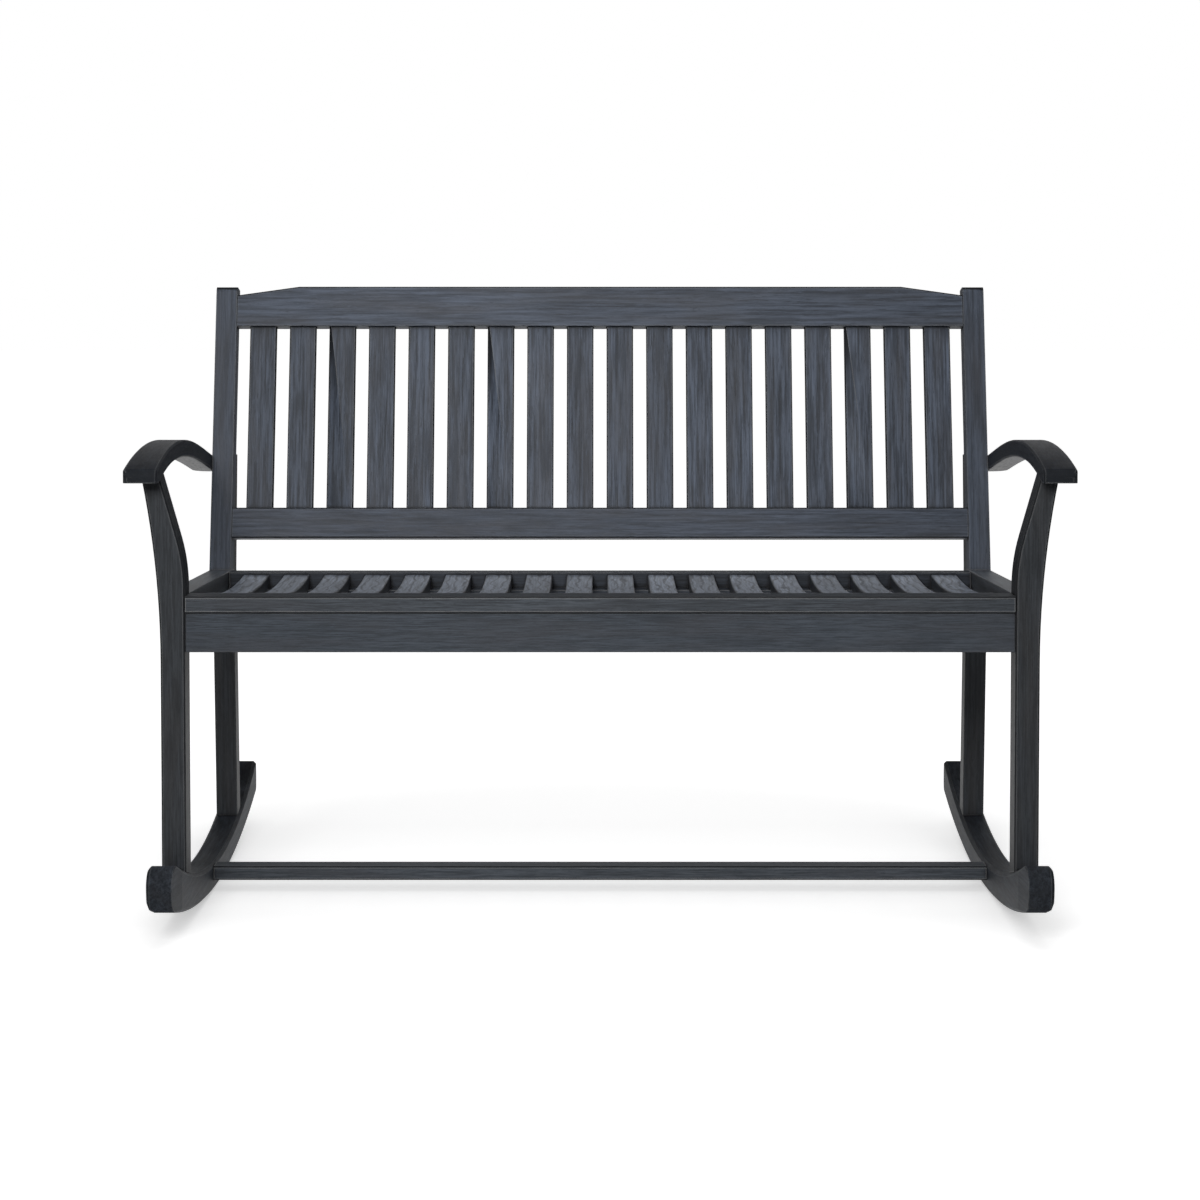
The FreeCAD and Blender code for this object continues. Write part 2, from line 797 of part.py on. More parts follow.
def arm_top_points():
    """The points that set the wave of the arm, as seen from the side."""
    return [
        Vector(0, arm_tip_depth, arm_tip_top),
        Vector(0, arm_shoulder_depth, arm_shoulder_top),
        Vector(0, arm_crest_depth, arm_crest_top),
        Vector(0, arm_fall_depth, arm_fall_top),
        Vector(0, arm_heel_depth, arm_heel_top),
    ]


def smooth_edge(points):
    """A smooth curve through a few points."""
    curve = Part.BSplineCurve()
    curve.interpolate(points)
    return curve.toShape()


def arm_under_edge():
    """The wave of the arm's underside."""
    return smooth_edge([point - Vector(0, 0, arm_thickness) for point in arm_top_points()])


def arm_wave():
    """The arm's side outline, extruded wider than the arm."""
    top = smooth_edge(arm_top_points())
    under = arm_under_edge()
    ends = []
    for edge in [top, under]:
        ends.append((edge.valueAt(edge.FirstParameter), edge.valueAt(edge.LastParameter)))
    front_line = Part.makeLine(ends[1][0], ends[0][0])
    rear_line = Part.makeLine(ends[0][1], ends[1][1])
    wire = Part.Wire([top, rear_line, under, front_line])
    return Part.Face(wire).extrude(Vector(2 * frame_outer, 0, 0))


def arm_plan():
    """The arm's outline from above: tapering to the rear, with rounded outer corners."""
    front_in = frame_outer - arm_front_inset
    corners = [
        Vector(front_in, arm_tip_depth, 0),
        Vector(front_in + arm_front_width, arm_tip_depth, 0),
        Vector(frame_outer + arm_heel_width, arm_heel_depth, 0),
        Vector(frame_outer, arm_heel_depth, 0),
        Vector(frame_outer, post_foot_depth, 0),
    ]
    body = Part.Face(Part.makePolygon(corners + corners[:1])).extrude(Vector(0, 0, tall))
    upright = edges_along(body, Vector(0, 0, 1))
    tip, heel = [
        [edge for edge in upright if edge.CenterOfMass.distanceToLine(corner, Vector(0, 0, 1)) < same_place]
        for corner in (corners[1], corners[2])
    ]
    return body.makeChamfer(arm_tip_corner_cut, tip).makeFillet(arm_heel_corner_radius, heel)


def armrest():
    """The right-hand armrest: the wave cut to the plan, its tip rolled over and flat below."""
    body = arm_wave().common(arm_plan())
    body = body.makeFillet(arm_tip_roll, edge_across(body, arm_tip_depth, arm_tip_top))
    body = body.makeChamfer(edge_chamfer, body.Edges)
    below_tip = box(0, tall, arm_tip_depth - tall, 0, 0, arm_tip_underside)
    body = body.cut(below_tip)
    body = body.cut(mortise(*front_leg_peg(), along=2))
    return body.cut(arm_pin_hole())


# Pins


def arm_pin(diameter, length):
    """A pin from the back post into the heel of the right arm."""
    height = arm_heel_top - arm_thickness / 2
    depth = post_foot_depth + (height - post_foot_height) * lean_slope + post_thickness / 2
    start = Vector(frame_outer - length / 2, depth, height)
    return rod(diameter, length, start, Vector(1, 0, 0))


def arm_pin_hole():
    """The hole for it in the post and the arm."""
    return arm_pin(pin_diameter + 2 * pin_play, pin_length + 2 * end_play)


def joint_pins():
    """All the wooden pins, as separate solids of one size."""
    right = rocker_pins(pin_diameter, pin_length) + [arm_pin(pin_diameter, pin_length)]
    return Part.makeCompound(right + [mirrored(pin) for pin in right])


# Assembly and export


def bench():
    """Every piece by name, in place."""
    pieces = {}
    blank = rocker_blank()
    slats_above = seat_profile(-frame_inner, frame_inner)
    pairs = {
        "rocker": rocker(blank),
        "front_leg": front_leg(blank, under_arm()),
        "rear_leg": rear_leg(blank),
        "side_rail": side_rail(),
        "back_post": back_post(),
        "armrest": armrest(),
    }
    for name, right in pairs.items():
        pieces[name + "_right"] = right
        pieces[name + "_left"] = mirrored(right)
    pieces["stretcher"] = stretcher()
    pieces["front_apron"] = front_apron()
    pieces["seat_front_board"] = seat_front_board()
    pieces["rear_seat_rail"] = rear_seat_rail()
    pieces["slat_ledger_front"] = front_ledger(slats_above)
    pieces["slat_ledger_rear"] = rear_ledger(slats_above)
    pieces["seat_bearer"] = seat_bearer(slats_above)
    pieces["back_top_rail"] = back_top_rail()
    pieces["back_bottom_rail"] = back_bottom_rail()
    for number, x0 in enumerate(slat_starts(seat_slat_count, seat_slat_width, inner_width), 1):
        pieces["seat_slat_%02d" % number] = seat_slat(x0)
    for number, x0 in enumerate(back_starts(), 1):
        pieces["back_slat_%02d" % number] = back_slat(x0)
    pieces["joint_pins"] = joint_pins()
    return pieces


os.makedirs("parts", exist_ok=True)
for name, shape in bench().items():
    placed = shape.copy()
    placed.translate(Vector(0, -origin_depth, 0))
    placed.exportStep("parts/" + name + ".step")
    print(name, len(placed.Solids), "solids, valid" if placed.isValid() else "solids, NOT VALID")
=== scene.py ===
import math

import bpy
from mathutils import Matrix, Vector

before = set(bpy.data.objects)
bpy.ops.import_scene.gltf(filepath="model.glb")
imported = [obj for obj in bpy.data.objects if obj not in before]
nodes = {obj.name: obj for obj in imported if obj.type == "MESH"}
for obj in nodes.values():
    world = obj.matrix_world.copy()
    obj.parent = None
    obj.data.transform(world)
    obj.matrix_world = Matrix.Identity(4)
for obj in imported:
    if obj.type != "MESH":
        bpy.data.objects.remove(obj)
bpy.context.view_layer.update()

# Camera, matched to the photograph
PHOTO_SIZE = 1200
FOCAL_PIXELS = 2747.5
PRINCIPAL_X = 598.5
PRINCIPAL_Y = 400.0
CAMERA_PLACE = Vector((-0.0024, -4.0974, 0.9055))
CAMERA_PITCH = 0.0444          # radians, downwards
SENSOR = 36.0

# Directions of the grain
LEAN = math.radians(13)        # back posts and slats
REAR_LEG_RAKE = -0.075         # radians, rear legs below the seat

# Softened edges of the pieces
BEVEL_WIDTH = 0.0009
BEVEL_SEGMENTS = 2
BEVEL_ANGLE = math.radians(35)
WELD_DISTANCE = 1e-5

# Noise of the wood: cells per metre along the grain, then in the two directions across it
STREAK_CELLS = (9.0, 230.0, 230.0)
FLECK_CELLS = (42.0, 380.0, 380.0)
FIBRE_CELLS = (30.0, 950.0, 950.0)
BLOTCH_CELLS = (9.0, 62.0, 62.0)
HUE_CELLS = (5.0, 34.0, 34.0)
CLOUD_CELLS = (3.0, 9.0, 9.0)
FIGURE_CELLS = (9.0, 22.0, 22.0)
PATCH_CELLS = (14.0, 60.0, 60.0)
PIECE_STRIDES = (37.0, 11.0, 23.0)   # how far the noise of one piece can lie from another's, in metres

# Stain: how much lighter or darker than its own colour each part of the texture is
STREAK_SPREAD = 0.46
PALE_FLECK = 1.75
DEEP_FLECK = 0.30
BLOTCH = 0.45
LEAST_PIECE_SHADE = 0.90
PIECE_SHADE_SPREAD = 0.20
LEAST_CLOUD_SHADE = 0.70
CLOUD_SHADE_SPREAD = 0.60

# Stain, painted shade and painted highlight: shares of the parts of the texture, where 1 covers what is
# below
WARM_SHARE = 0.45
PALE_FLECK_SHARE = 0.50
DEEP_FLECK_SHARE = 0.62
BLOTCH_SHARE = 0.46
CREVICE_SHADE_SHARE = 0.9
LEAST_WEAR_AND_HIGHLIGHT = 0.50

# Marks of use, painted shade in the joints, on sides, tops and eased edges, and painted highlights beside
# the edges
CREVICE_REACH = 0.008
WEAR_AND_HIGHLIGHT_REACH = 0.0032
RAY_SAMPLES = 6
# near-black for the painted shade on sides, tops and eased edges, and for the wood's figure lines
SHADE_AND_FIGURE_DARK = (0.010, 0.011, 0.013, 1)
# pale grey for worn wood and painted highlights beside the edges
WORN_AND_HIGHLIGHT_EDGE = (0.26, 0.265, 0.27, 1)
END_GRAIN = (0.011, 0.014, 0.018, 1)
# near-black painted shade in joints and corners
CREVICE_SHADE = (0.004, 0.004, 0.005, 1)
SAWN_DARK = (0.02, 0.02, 0.02, 1)
SAWN_PALE = (0.20, 0.20, 0.21, 1)

# Parts of the textures and tests that are spread over 0 to 1
STREAK_RANGE = (0.33, 0.67)
HUE_RANGE = (0.40, 0.68)
PALE_FLECK_RANGE = (0.56, 0.74)
DEEP_FLECK_RANGE = (0.28, 0.44)
BLOTCH_RANGE = (0.52, 0.68)
PATCH_RANGE = (0.28, 0.60)
SAWN_RANGE = (0.35, 0.60)
FIGURE_RANGE = (0.02, 0.22)
CREVICE_RANGE = (0.14, 0.46)
WEAR_AND_HIGHLIGHT_RANGE = (0.001, 0.012)
ARRIS_RANGE = (0.30, 0.45)
SIDE_RANGE = (0.70, 0.92)
ABOVE_RANGE = (0.80, 0.95)
BELOW_RANGE = (0.15, 0.50)
END_SPAN = 0.45

# Waves of the wood's figure
FIGURE_DISTORTION = 8.0
FIGURE_DETAIL = 2.0
FIGURE_DETAIL_SCALE = 1.5

# Surface: what is added to the roughness, and the grain's relief
ROUGHNESS_START = 0.10         # taken off first, since the flecks add to it everywhere
FLECK_ROUGHNESS = 0.22
END_ROUGHNESS = 0.30
WEAR_ROUGHNESS = 0.12
STREAK_RELIEF = 0.5
FIBRE_RELIEF = 0.3
FLECK_RELIEF = 0.4
BUMP_STRENGTH = 0.55
BUMP_DEPTH = 0.0006

# Stain colours; the lighter and darker copies of the slate below carry painted light and shade, as marked
SLATE = (0.068, 0.083, 0.113)
SLATE_FRONT = (0.066, 0.078, 0.096)
SLATE_BOARD = (0.076, 0.087, 0.102)
# darker, browner slate for the legs: the browner tone is theirs, the darkness is painted shade of the low
# parts
SLATE_LOW_PAINTED_SHADE = (0.050, 0.055, 0.062)
# darker slate for the rockers: painted shade of the low parts
SLATE_ROCKER_PAINTED_SHADE = (0.045, 0.052, 0.064)
# much darker slate for the arms: painted shade for their dark tops
SLATE_PAINTED_ARM_SHADE = (0.017, 0.020, 0.027)
# lighter slate for the side rails: painted light on their tops
SLATE_PAINTED_RAIL_LIGHT = (0.115, 0.128, 0.148)
# darker slate for the seat rails and the other pieces not listed: painted shade under the seat
SLATE_PAINTED_UNDER_SHADE = (0.034, 0.040, 0.052)
# much lighter slate for the seat slats: a painted sheen standing in for their reflection
SLATE_PAINTED_SHEEN = (0.235, 0.266, 0.325)
WARM = (0.070, 0.072, 0.082)
# darker warm tints for the legs and rockers: painted shade of the low parts
WARM_LOW_PAINTED_SHADE = (0.052, 0.050, 0.050)
WARM_ROCKER_PAINTED_SHADE = (0.040, 0.041, 0.045)

# Floor
FLOOR_HALF = 30.0
FLOOR_MIDDLE = (0.0, 0.15, 0.0)
FLOOR_BOUNCE = 0.70
FLOOR_SHADOW = 0.80
FLOOR_GLOW = 0.77
FLOOR_GLOW_RADII = (0.55, 1.1)       # the glow grows to 1 between these
FLOOR_MIRROR_RADII = (1.4, 3.2)      # the floor's reflection fades out between these
FLOOR_CONTACT = 0.35                 # extra shade close to the rockers
CONTACT_REACH = 0.22
CONTACT_SAMPLES = 16

# World
CEILING = 0.08                 # brightness overhead, where the horizon is 1
CEILING_HEIGHTS = (0.25, 0.75)
FRONT = 0.25                   # brightness before the bench, where it is 1 behind
BEHIND_DEPTHS = (0.1, 0.95)
WORLD_FILL = 0.16              # on diffuse surfaces
WORLD_GLOSS = 0.45             # in reflections


# Shader nodes


def link(tree, output, socket):
    tree.links.new(output, socket)


def add(tree, kind, **settings):
    """A shader node with some of its properties set."""
    node = tree.nodes.new(kind)
    for name, value in settings.items():
        setattr(node, name, value)
    return node


def value_of(tree, socket, value):
    """Feed a socket from another socket or from a number."""
    if hasattr(value, "is_linked"):
        link(tree, value, socket)
    else:
        socket.default_value = value


def maths(tree, operation, first, second=0.0, clamp=False):
    node = add(tree, "ShaderNodeMath", operation=operation, use_clamp=clamp)
    value_of(tree, node.inputs[0], first)
    value_of(tree, node.inputs[1], second)
    return node.outputs[0]


def plus(tree, first, second):
    return maths(tree, "ADD", first, second)


def times(tree, first, second):
    return maths(tree, "MULTIPLY", first, second)


def opposite(tree, value):
    """1 where the value is 0, and 0 where it is 1."""
    return maths(tree, "SUBTRACT", 1.0, value)


def vector_maths(tree, operation, first, second):
    node = add(tree, "ShaderNodeVectorMath", operation=operation)
    value_of(tree, node.inputs[0], first)
    value_of(tree, node.inputs[1], second)
    return node.outputs["Value"] if operation == "DOT_PRODUCT" else node.outputs["Vector"]


def mix_colour(tree, factor, first, second, blend="MIX"):
    node = add(tree, "ShaderNodeMix", data_type="RGBA", blend_type=blend)
    value_of(tree, node.inputs["Factor"], factor)
    value_of(tree, node.inputs[6], first)
    value_of(tree, node.inputs[7], second)
    return node.outputs[2]


def tinted(stain, factor):
    """A stain made lighter or darker, as a colour for a socket."""
    return (*[factor * channel for channel in stain], 1)


def stretch(tree, value, part):
    """Spread the part of a value between two limits over 0 to 1."""
    node = add(tree, "ShaderNodeMapRange", interpolation_type="SMOOTHSTEP")
    link(tree, value, node.inputs["Value"])
    node.inputs["From Min"].default_value, node.inputs["From Max"].default_value = part
    return node.outputs["Result"]


def noise(tree, place, cells, detail=3.0, roughness=0.55):
    """Noise with a number of cells per metre for each direction."""
    node = add(tree, "ShaderNodeTexNoise")
    link(tree, vector_maths(tree, "MULTIPLY", place, cells), node.inputs["Vector"])
    node.inputs["Scale"].default_value = 1.0
    node.inputs["Detail"].default_value = detail
    node.inputs["Roughness"].default_value = roughness
    node.inputs["Distortion"].default_value = 0.0
    return node.outputs["Fac"]


def surface_normal(tree, kind="Normal"):
    """The direction a surface faces; kind "True Normal" is that of the flat mesh face."""
    return add(tree, "ShaderNodeNewGeometry").outputs[kind]


# Wood


class Wood:
    """A stained wood. Shares run from 0, where nothing of it shows, to 1."""

    tilt = 0.0           # how far the grain leans about X, in radians
    contrast = 1.0       # strength of the streaks, flecks and blotches
    fine = 1.0           # how narrow streaks and flecks are, where 1 is usual
    figure = 0.0         # share of the wavy lines of the wood's figure
    painted_side_shade = 0.0     # share of painted shade on faces towards the left and right
    painted_top_shade = 0.0     # share of painted shade on faces that look up
    rough_below = 0.0    # share of sawn wood on faces that look down
    ends_from = 0.35     # how far a face turns from the long grain before it counts as an end
    ends_dark = 0.66     # share of dark stain on the ends
    rim = 0.4            # share of worn wood and painted highlight beside the edges
    painted_arris_shade = 0.8     # share of painted shade on the eased edges themselves
    roughness = 0.5
    gloss = 0.25         # the shader's specular level
    relief = 1.0         # depth of the grain, where 1 is usual

    def __init__(self, grain, stain, warm, **changes):
        self.grain = grain
        self.stain = stain
        self.warm = warm
        for name, value in changes.items():
            setattr(self, name, value)


def along_grain(tree, vector, wood):
    """The parts of a vector along the grain and across it."""
    turn = add(tree, "ShaderNodeVectorRotate", rotation_type="X_AXIS")
    link(tree, vector, turn.inputs["Vector"])
    turn.inputs["Angle"].default_value = wood.tilt
    apart = add(tree, "ShaderNodeSeparateXYZ")
    link(tree, turn.outputs["Vector"], apart.inputs["Vector"])
    order = {"X": (0, 1, 2), "Y": (1, 0, 2), "Z": (2, 0, 1)}[wood.grain]
    return [apart.outputs[source] for source in order]


def grain_place(tree, wood, chance):
    """Coordinates in metres with X along the grain, different for every piece."""
    parts = along_grain(tree, add(tree, "ShaderNodeTexCoord").outputs["Object"], wood)
    together = add(tree, "ShaderNodeCombineXYZ")
    for socket, part in zip(together.inputs, parts):
        link(tree, part, socket)
    offset = add(tree, "ShaderNodeCombineXYZ")
    for socket, stride in zip(offset.inputs, PIECE_STRIDES):
        link(tree, times(tree, chance, stride), socket)
    return vector_maths(tree, "ADD", together.outputs[0], offset.outputs[0])


def arris(tree, wood):
    """1 on the eased long edges, 0 on the faces between them."""
    across = along_grain(tree, surface_normal(tree), wood)[2 if wood.grain == "Z" else 1]
    sine = maths(tree, "ABSOLUTE", across)
    cosine = maths(tree, "SQRT", maths(tree, "SUBTRACT", 1.0, times(tree, sine, sine), clamp=True))
    return stretch(tree, times(tree, sine, cosine), ARRIS_RANGE)


def near_edge(tree):
    """0 on open faces, rising to 1 where an edge is within reach."""
    bevel = add(tree, "ShaderNodeBevel", samples=RAY_SAMPLES)
    bevel.inputs["Radius"].default_value = WEAR_AND_HIGHLIGHT_REACH
    flatness = vector_maths(tree, "DOT_PRODUCT", bevel.outputs[0], surface_normal(tree))
    return stretch(tree, opposite(tree, flatness), WEAR_AND_HIGHLIGHT_RANGE)


def crevice(tree):
    """0 in the open, rising to 1 where another surface is close: the mask of the painted shade in joints
    and corners.
    """
    sky = add(tree, "ShaderNodeAmbientOcclusion", samples=RAY_SAMPLES)
    sky.inputs["Distance"].default_value = CREVICE_REACH
    return stretch(tree, opposite(tree, sky.outputs["AO"]), CREVICE_RANGE)


def end_grain(tree, wood):
    """0 on long grain, rising to 1 on faces cut across it."""
    lengthwise = along_grain(tree, surface_normal(tree), wood)[0]
    return stretch(tree, maths(tree, "ABSOLUTE", lengthwise), (wood.ends_from, wood.ends_from + END_SPAN))


def figure_lines(tree, place):
    """Thin wavy lines of the wood's figure, 1 on a line."""
    wave = add(tree, "ShaderNodeTexWave", wave_type="BANDS", bands_direction="Y")
    link(tree, vector_maths(tree, "MULTIPLY", place, FIGURE_CELLS), wave.inputs["Vector"])
    wave.inputs["Scale"].default_value = 1.0
    wave.inputs["Distortion"].default_value = FIGURE_DISTORTION
    wave.inputs["Detail"].default_value = FIGURE_DETAIL
    wave.inputs["Detail Scale"].default_value = FIGURE_DETAIL_SCALE
    return opposite(tree, stretch(tree, wave.outputs["Fac"], FIGURE_RANGE))


def streaked(tree, wood, place, streaks, flecks):
    """The stain with its streaks, warmer strips, pale and deep flecks, and blotches."""
    spread = STREAK_SPREAD * wood.contrast
    colour = mix_colour(tree, stretch(tree, streaks, STREAK_RANGE),
                        tinted(wood.stain, 1.0 - spread), tinted(wood.stain, 1.0 + spread))
    hue = noise(tree, place, HUE_CELLS, detail=2.0)
    warmer = times(tree, stretch(tree, hue, HUE_RANGE), WARM_SHARE)
    colour = mix_colour(tree, warmer, colour, tinted(wood.warm, 1.0))
    pale = times(tree, stretch(tree, flecks, PALE_FLECK_RANGE), PALE_FLECK_SHARE * wood.contrast)
    colour = mix_colour(tree, pale, colour, tinted(wood.stain, PALE_FLECK))
    deep = opposite(tree, stretch(tree, flecks, DEEP_FLECK_RANGE))
    deep = times(tree, deep, DEEP_FLECK_SHARE * wood.contrast)
    colour = mix_colour(tree, deep, colour, tinted(wood.stain, DEEP_FLECK))
    blotches = noise(tree, place, BLOTCH_CELLS, roughness=0.6)
    stained = times(tree, stretch(tree, blotches, BLOTCH_RANGE), BLOTCH_SHARE * wood.contrast)
    return mix_colour(tree, stained, colour, tinted(wood.stain, BLOTCH))


def shaded(tree, colour, place, chance):
    """The colour with a shade of its own for each piece, and slow clouds over it."""
    cloud = noise(tree, place, CLOUD_CELLS)
    piece_shade = plus(tree, LEAST_PIECE_SHADE, times(tree, chance, PIECE_SHADE_SPREAD))
    cloud_shade = plus(tree, LEAST_CLOUD_SHADE, times(tree, cloud, CLOUD_SHADE_SPREAD))
    shade = times(tree, piece_shade, cloud_shade)
    tint = add(tree, "ShaderNodeCombineColor")
    for socket in tint.inputs:
        link(tree, shade, socket)
    return mix_colour(tree, 1.0, colour, tint.outputs[0], blend="MULTIPLY")


def faced(tree, wood, colour, faces, streaks):
    """The colour with painted shade on faces to the sides and sawn faces below."""
    # painted shade: faces towards the left and right darkened towards near-black
    if wood.painted_side_shade:
        sideways = stretch(tree, maths(tree, "ABSOLUTE", faces.outputs["X"]), SIDE_RANGE)
        colour = mix_colour(tree, times(tree, sideways, wood.painted_side_shade), colour, SHADE_AND_FIGURE_DARK)
    if wood.rough_below:
        below = stretch(tree, times(tree, faces.outputs["Z"], -1.0), BELOW_RANGE)
        sawn = mix_colour(tree, stretch(tree, streaks, SAWN_RANGE), SAWN_DARK, SAWN_PALE)
        colour = mix_colour(tree, times(tree, below, wood.rough_below), colour, sawn)
    return colour


def edge_wear_and_highlight(tree, wood, place, eased):
    """Patches of worn wood and painted highlight beside the edges, but not on their eased corners."""
    patches = stretch(tree, noise(tree, place, PATCH_CELLS), PATCH_RANGE)
    patches = plus(tree, LEAST_WEAR_AND_HIGHLIGHT, times(tree, patches, 1.0 - LEAST_WEAR_AND_HIGHLIGHT))
    beside = times(tree, near_edge(tree), opposite(tree, eased))
    return times(tree, times(tree, beside, patches), wood.rim)


def wood_roughness(tree, wood, flecks, ends, wear_and_highlight):
    rough = plus(tree, wood.roughness - ROUGHNESS_START, times(tree, flecks, FLECK_ROUGHNESS))
    rough = plus(tree, rough, times(tree, ends, END_ROUGHNESS))
    return maths(tree, "ADD", rough, times(tree, wear_and_highlight, WEAR_ROUGHNESS), clamp=True)


def grain_bump(tree, wood, place, streaks, flecks):
    """The normal of a surface with open grain."""
    fibres = noise(tree, place, FIBRE_CELLS, detail=2.0, roughness=0.7)
    height = plus(tree, times(tree, streaks, STREAK_RELIEF), times(tree, fibres, FIBRE_RELIEF))
    height = plus(tree, height, times(tree, flecks, FLECK_RELIEF))
    bump = add(tree, "ShaderNodeBump")
    bump.inputs["Strength"].default_value = BUMP_STRENGTH
    bump.inputs["Distance"].default_value = BUMP_DEPTH * wood.relief
    link(tree, height, bump.inputs["Height"])
    return bump.outputs["Normal"]


def stained_wood(name, wood):
    """The material of a wood: stain, figure, painted shade on side faces, top faces, eased edges and in the
    joints, ends, and worn edges with painted highlights.
    """
    material = bpy.data.materials.new(name)
    material.use_nodes = True
    tree = material.node_tree
    shader = tree.nodes["Principled BSDF"]
    chance = add(tree, "ShaderNodeObjectInfo").outputs["Random"]
    place = grain_place(tree, wood, chance)
    faces = add(tree, "ShaderNodeSeparateXYZ")
    link(tree, surface_normal(tree, "True Normal"), faces.inputs[0])
    streak_cells = [wood.fine * cells for cells in STREAK_CELLS]
    fleck_cells = [wood.fine * cells for cells in FLECK_CELLS]
    streaks = noise(tree, place, streak_cells, detail=4.0, roughness=0.72)
    flecks = noise(tree, place, fleck_cells, roughness=0.70)
    ends = end_grain(tree, wood)
    eased = arris(tree, wood)
    wear_and_highlight = edge_wear_and_highlight(tree, wood, place, eased)

    colour = shaded(tree, streaked(tree, wood, place, streaks, flecks), place, chance)
    if wood.figure:
        colour = mix_colour(tree, times(tree, figure_lines(tree, place), wood.figure), colour, SHADE_AND_FIGURE_DARK)
    colour = faced(tree, wood, colour, faces, streaks)
    colour = mix_colour(tree, times(tree, ends, wood.ends_dark), colour, END_GRAIN)
    # painted shade: near-black where another surface is close, in joints and corners
    colour = mix_colour(tree, times(tree, crevice(tree), CREVICE_SHADE_SHARE), colour, CREVICE_SHADE)
    # worn wood and painted highlight beside the edges
    colour = mix_colour(tree, wear_and_highlight, colour, WORN_AND_HIGHLIGHT_EDGE)
    # painted shade along the eased edges
    colour = mix_colour(tree, times(tree, eased, wood.painted_arris_shade), colour, SHADE_AND_FIGURE_DARK)
    # painted shade: faces that look up darkened towards near-black
    if wood.painted_top_shade:
        upwards = stretch(tree, faces.outputs["Z"], ABOVE_RANGE)
        colour = mix_colour(tree, times(tree, upwards, wood.painted_top_shade), colour, SHADE_AND_FIGURE_DARK)

    link(tree, colour, shader.inputs["Base Color"])
    link(tree, wood_roughness(tree, wood, flecks, ends, wear_and_highlight), shader.inputs["Roughness"])
    link(tree, grain_bump(tree, wood, place, streaks, flecks), shader.inputs["Normal"])
    shader.inputs["Specular IOR Level"].default_value = wood.gloss
    return material


woods = {
    "back_rails": Wood("X", SLATE, WARM, tilt=LEAN, rim=0.35, painted_arris_shade=0.9),
    "posts": Wood("Z", SLATE, WARM, tilt=LEAN, rim=0.3, painted_arris_shade=0.9, contrast=0.85),
    "back_slats": Wood("Z", SLATE, WARM, tilt=LEAN, rim=0.5, painted_arris_shade=1.0, contrast=1.4, painted_side_shade=0.85),
    "front_board": Wood("X", SLATE_BOARD, WARM, rim=1.0, painted_arris_shade=0.95, contrast=0.8, fine=2.2,
                        painted_top_shade=0.5),
    "apron": Wood("X", SLATE_FRONT, WARM, rim=0.15, painted_arris_shade=0.95, contrast=0.75, fine=2.8),
    "stretcher": Wood("X", SLATE_BOARD, WARM, rim=1.0, contrast=0.9, fine=1.8),
    "seat_rails": Wood("X", SLATE_PAINTED_UNDER_SHADE, SLATE_PAINTED_UNDER_SHADE, rim=0.5, painted_arris_shade=0.5),
    "side_rails": Wood("Y", SLATE_PAINTED_RAIL_LIGHT, WARM, painted_arris_shade=0.6, roughness=0.40, gloss=0.5, contrast=0.8,
                       painted_side_shade=0.5),
    "seat_slats": Wood("Y", SLATE_PAINTED_SHEEN, SLATE_PAINTED_SHEEN, rim=0.5, painted_arris_shade=0.5, roughness=0.42, relief=0.8,
                       gloss=0.38, fine=1.5, figure=0.55, painted_side_shade=0.88),
    "front_legs": Wood("Z", SLATE_LOW_PAINTED_SHADE, WARM_LOW_PAINTED_SHADE, rim=0.5, gloss=0.18, contrast=0.7, fine=1.4,
                       painted_side_shade=0.6),
    "rear_legs": Wood("Z", SLATE_LOW_PAINTED_SHADE, WARM_LOW_PAINTED_SHADE, tilt=REAR_LEG_RAKE, rim=0.3, gloss=0.18, contrast=0.7,
                      fine=1.4, painted_side_shade=0.2),
    "rockers": Wood("Y", SLATE_ROCKER_PAINTED_SHADE, WARM_ROCKER_PAINTED_SHADE, painted_arris_shade=0.3, gloss=0.15, roughness=0.55,
                    ends_from=0.18, ends_dark=0.12, painted_side_shade=0.25),
    "arms": Wood("Y", SLATE_PAINTED_ARM_SHADE, SLATE_PAINTED_ARM_SHADE, rim=0.35, painted_arris_shade=0.3, roughness=0.42, rough_below=0.6),
}
materials = {name: stained_wood("slate_wood_" + name, wood) for name, wood in woods.items()}
wood_by_start = {
    "back_slat": "back_slats",
    "back_post": "posts",
    "back_top_rail": "back_rails",
    "back_bottom_rail": "back_rails",
    "seat_slat": "seat_slats",
    "seat_front_board": "front_board",
    "front_apron": "apron",
    "front_leg": "front_legs",
    "rear_leg": "rear_legs",
    "rocker": "rockers",
    "armrest": "arms",
    "side_rail": "side_rails",
    "stretcher": "stretcher",
}


def material_for(name):
    """The material of a CAD node, found by the start of its name."""
    for start, wood in wood_by_start.items():
        if name.startswith(start):
            return materials[wood]
    return materials["seat_rails"]


def dress(node, material):
    """Give a CAD node its wood and soften its edges, leaving its mesh alone."""
    for slot in node.material_slots:
        slot.link = "OBJECT"
        slot.material = material
    weld = node.modifiers.new("weld", "WELD")
    weld.merge_threshold = WELD_DISTANCE
    bevel = node.modifiers.new("eased", "BEVEL")
    bevel.width = BEVEL_WIDTH
    bevel.segments = BEVEL_SEGMENTS
    bevel.limit_method = "ANGLE"
    bevel.angle_limit = BEVEL_ANGLE
    bevel.harden_normals = True


# Floor, light and camera


def grey(level):
    return (level, level, level, 1)


def floor_glow(tree, distance):
    """The floor's own light: up to white away from the bench, less where the rockers are close."""
    away = stretch(tree, distance, FLOOR_GLOW_RADII)
    open_sky = add(tree, "ShaderNodeAmbientOcclusion", samples=CONTACT_SAMPLES)
    open_sky.inputs["Distance"].default_value = CONTACT_REACH
    covered = opposite(tree, open_sky.outputs["AO"])
    strength = plus(tree, FLOOR_GLOW, times(tree, away, 1.0 - FLOOR_GLOW))
    return maths(tree, "SUBTRACT", strength, times(tree, covered, FLOOR_CONTACT))


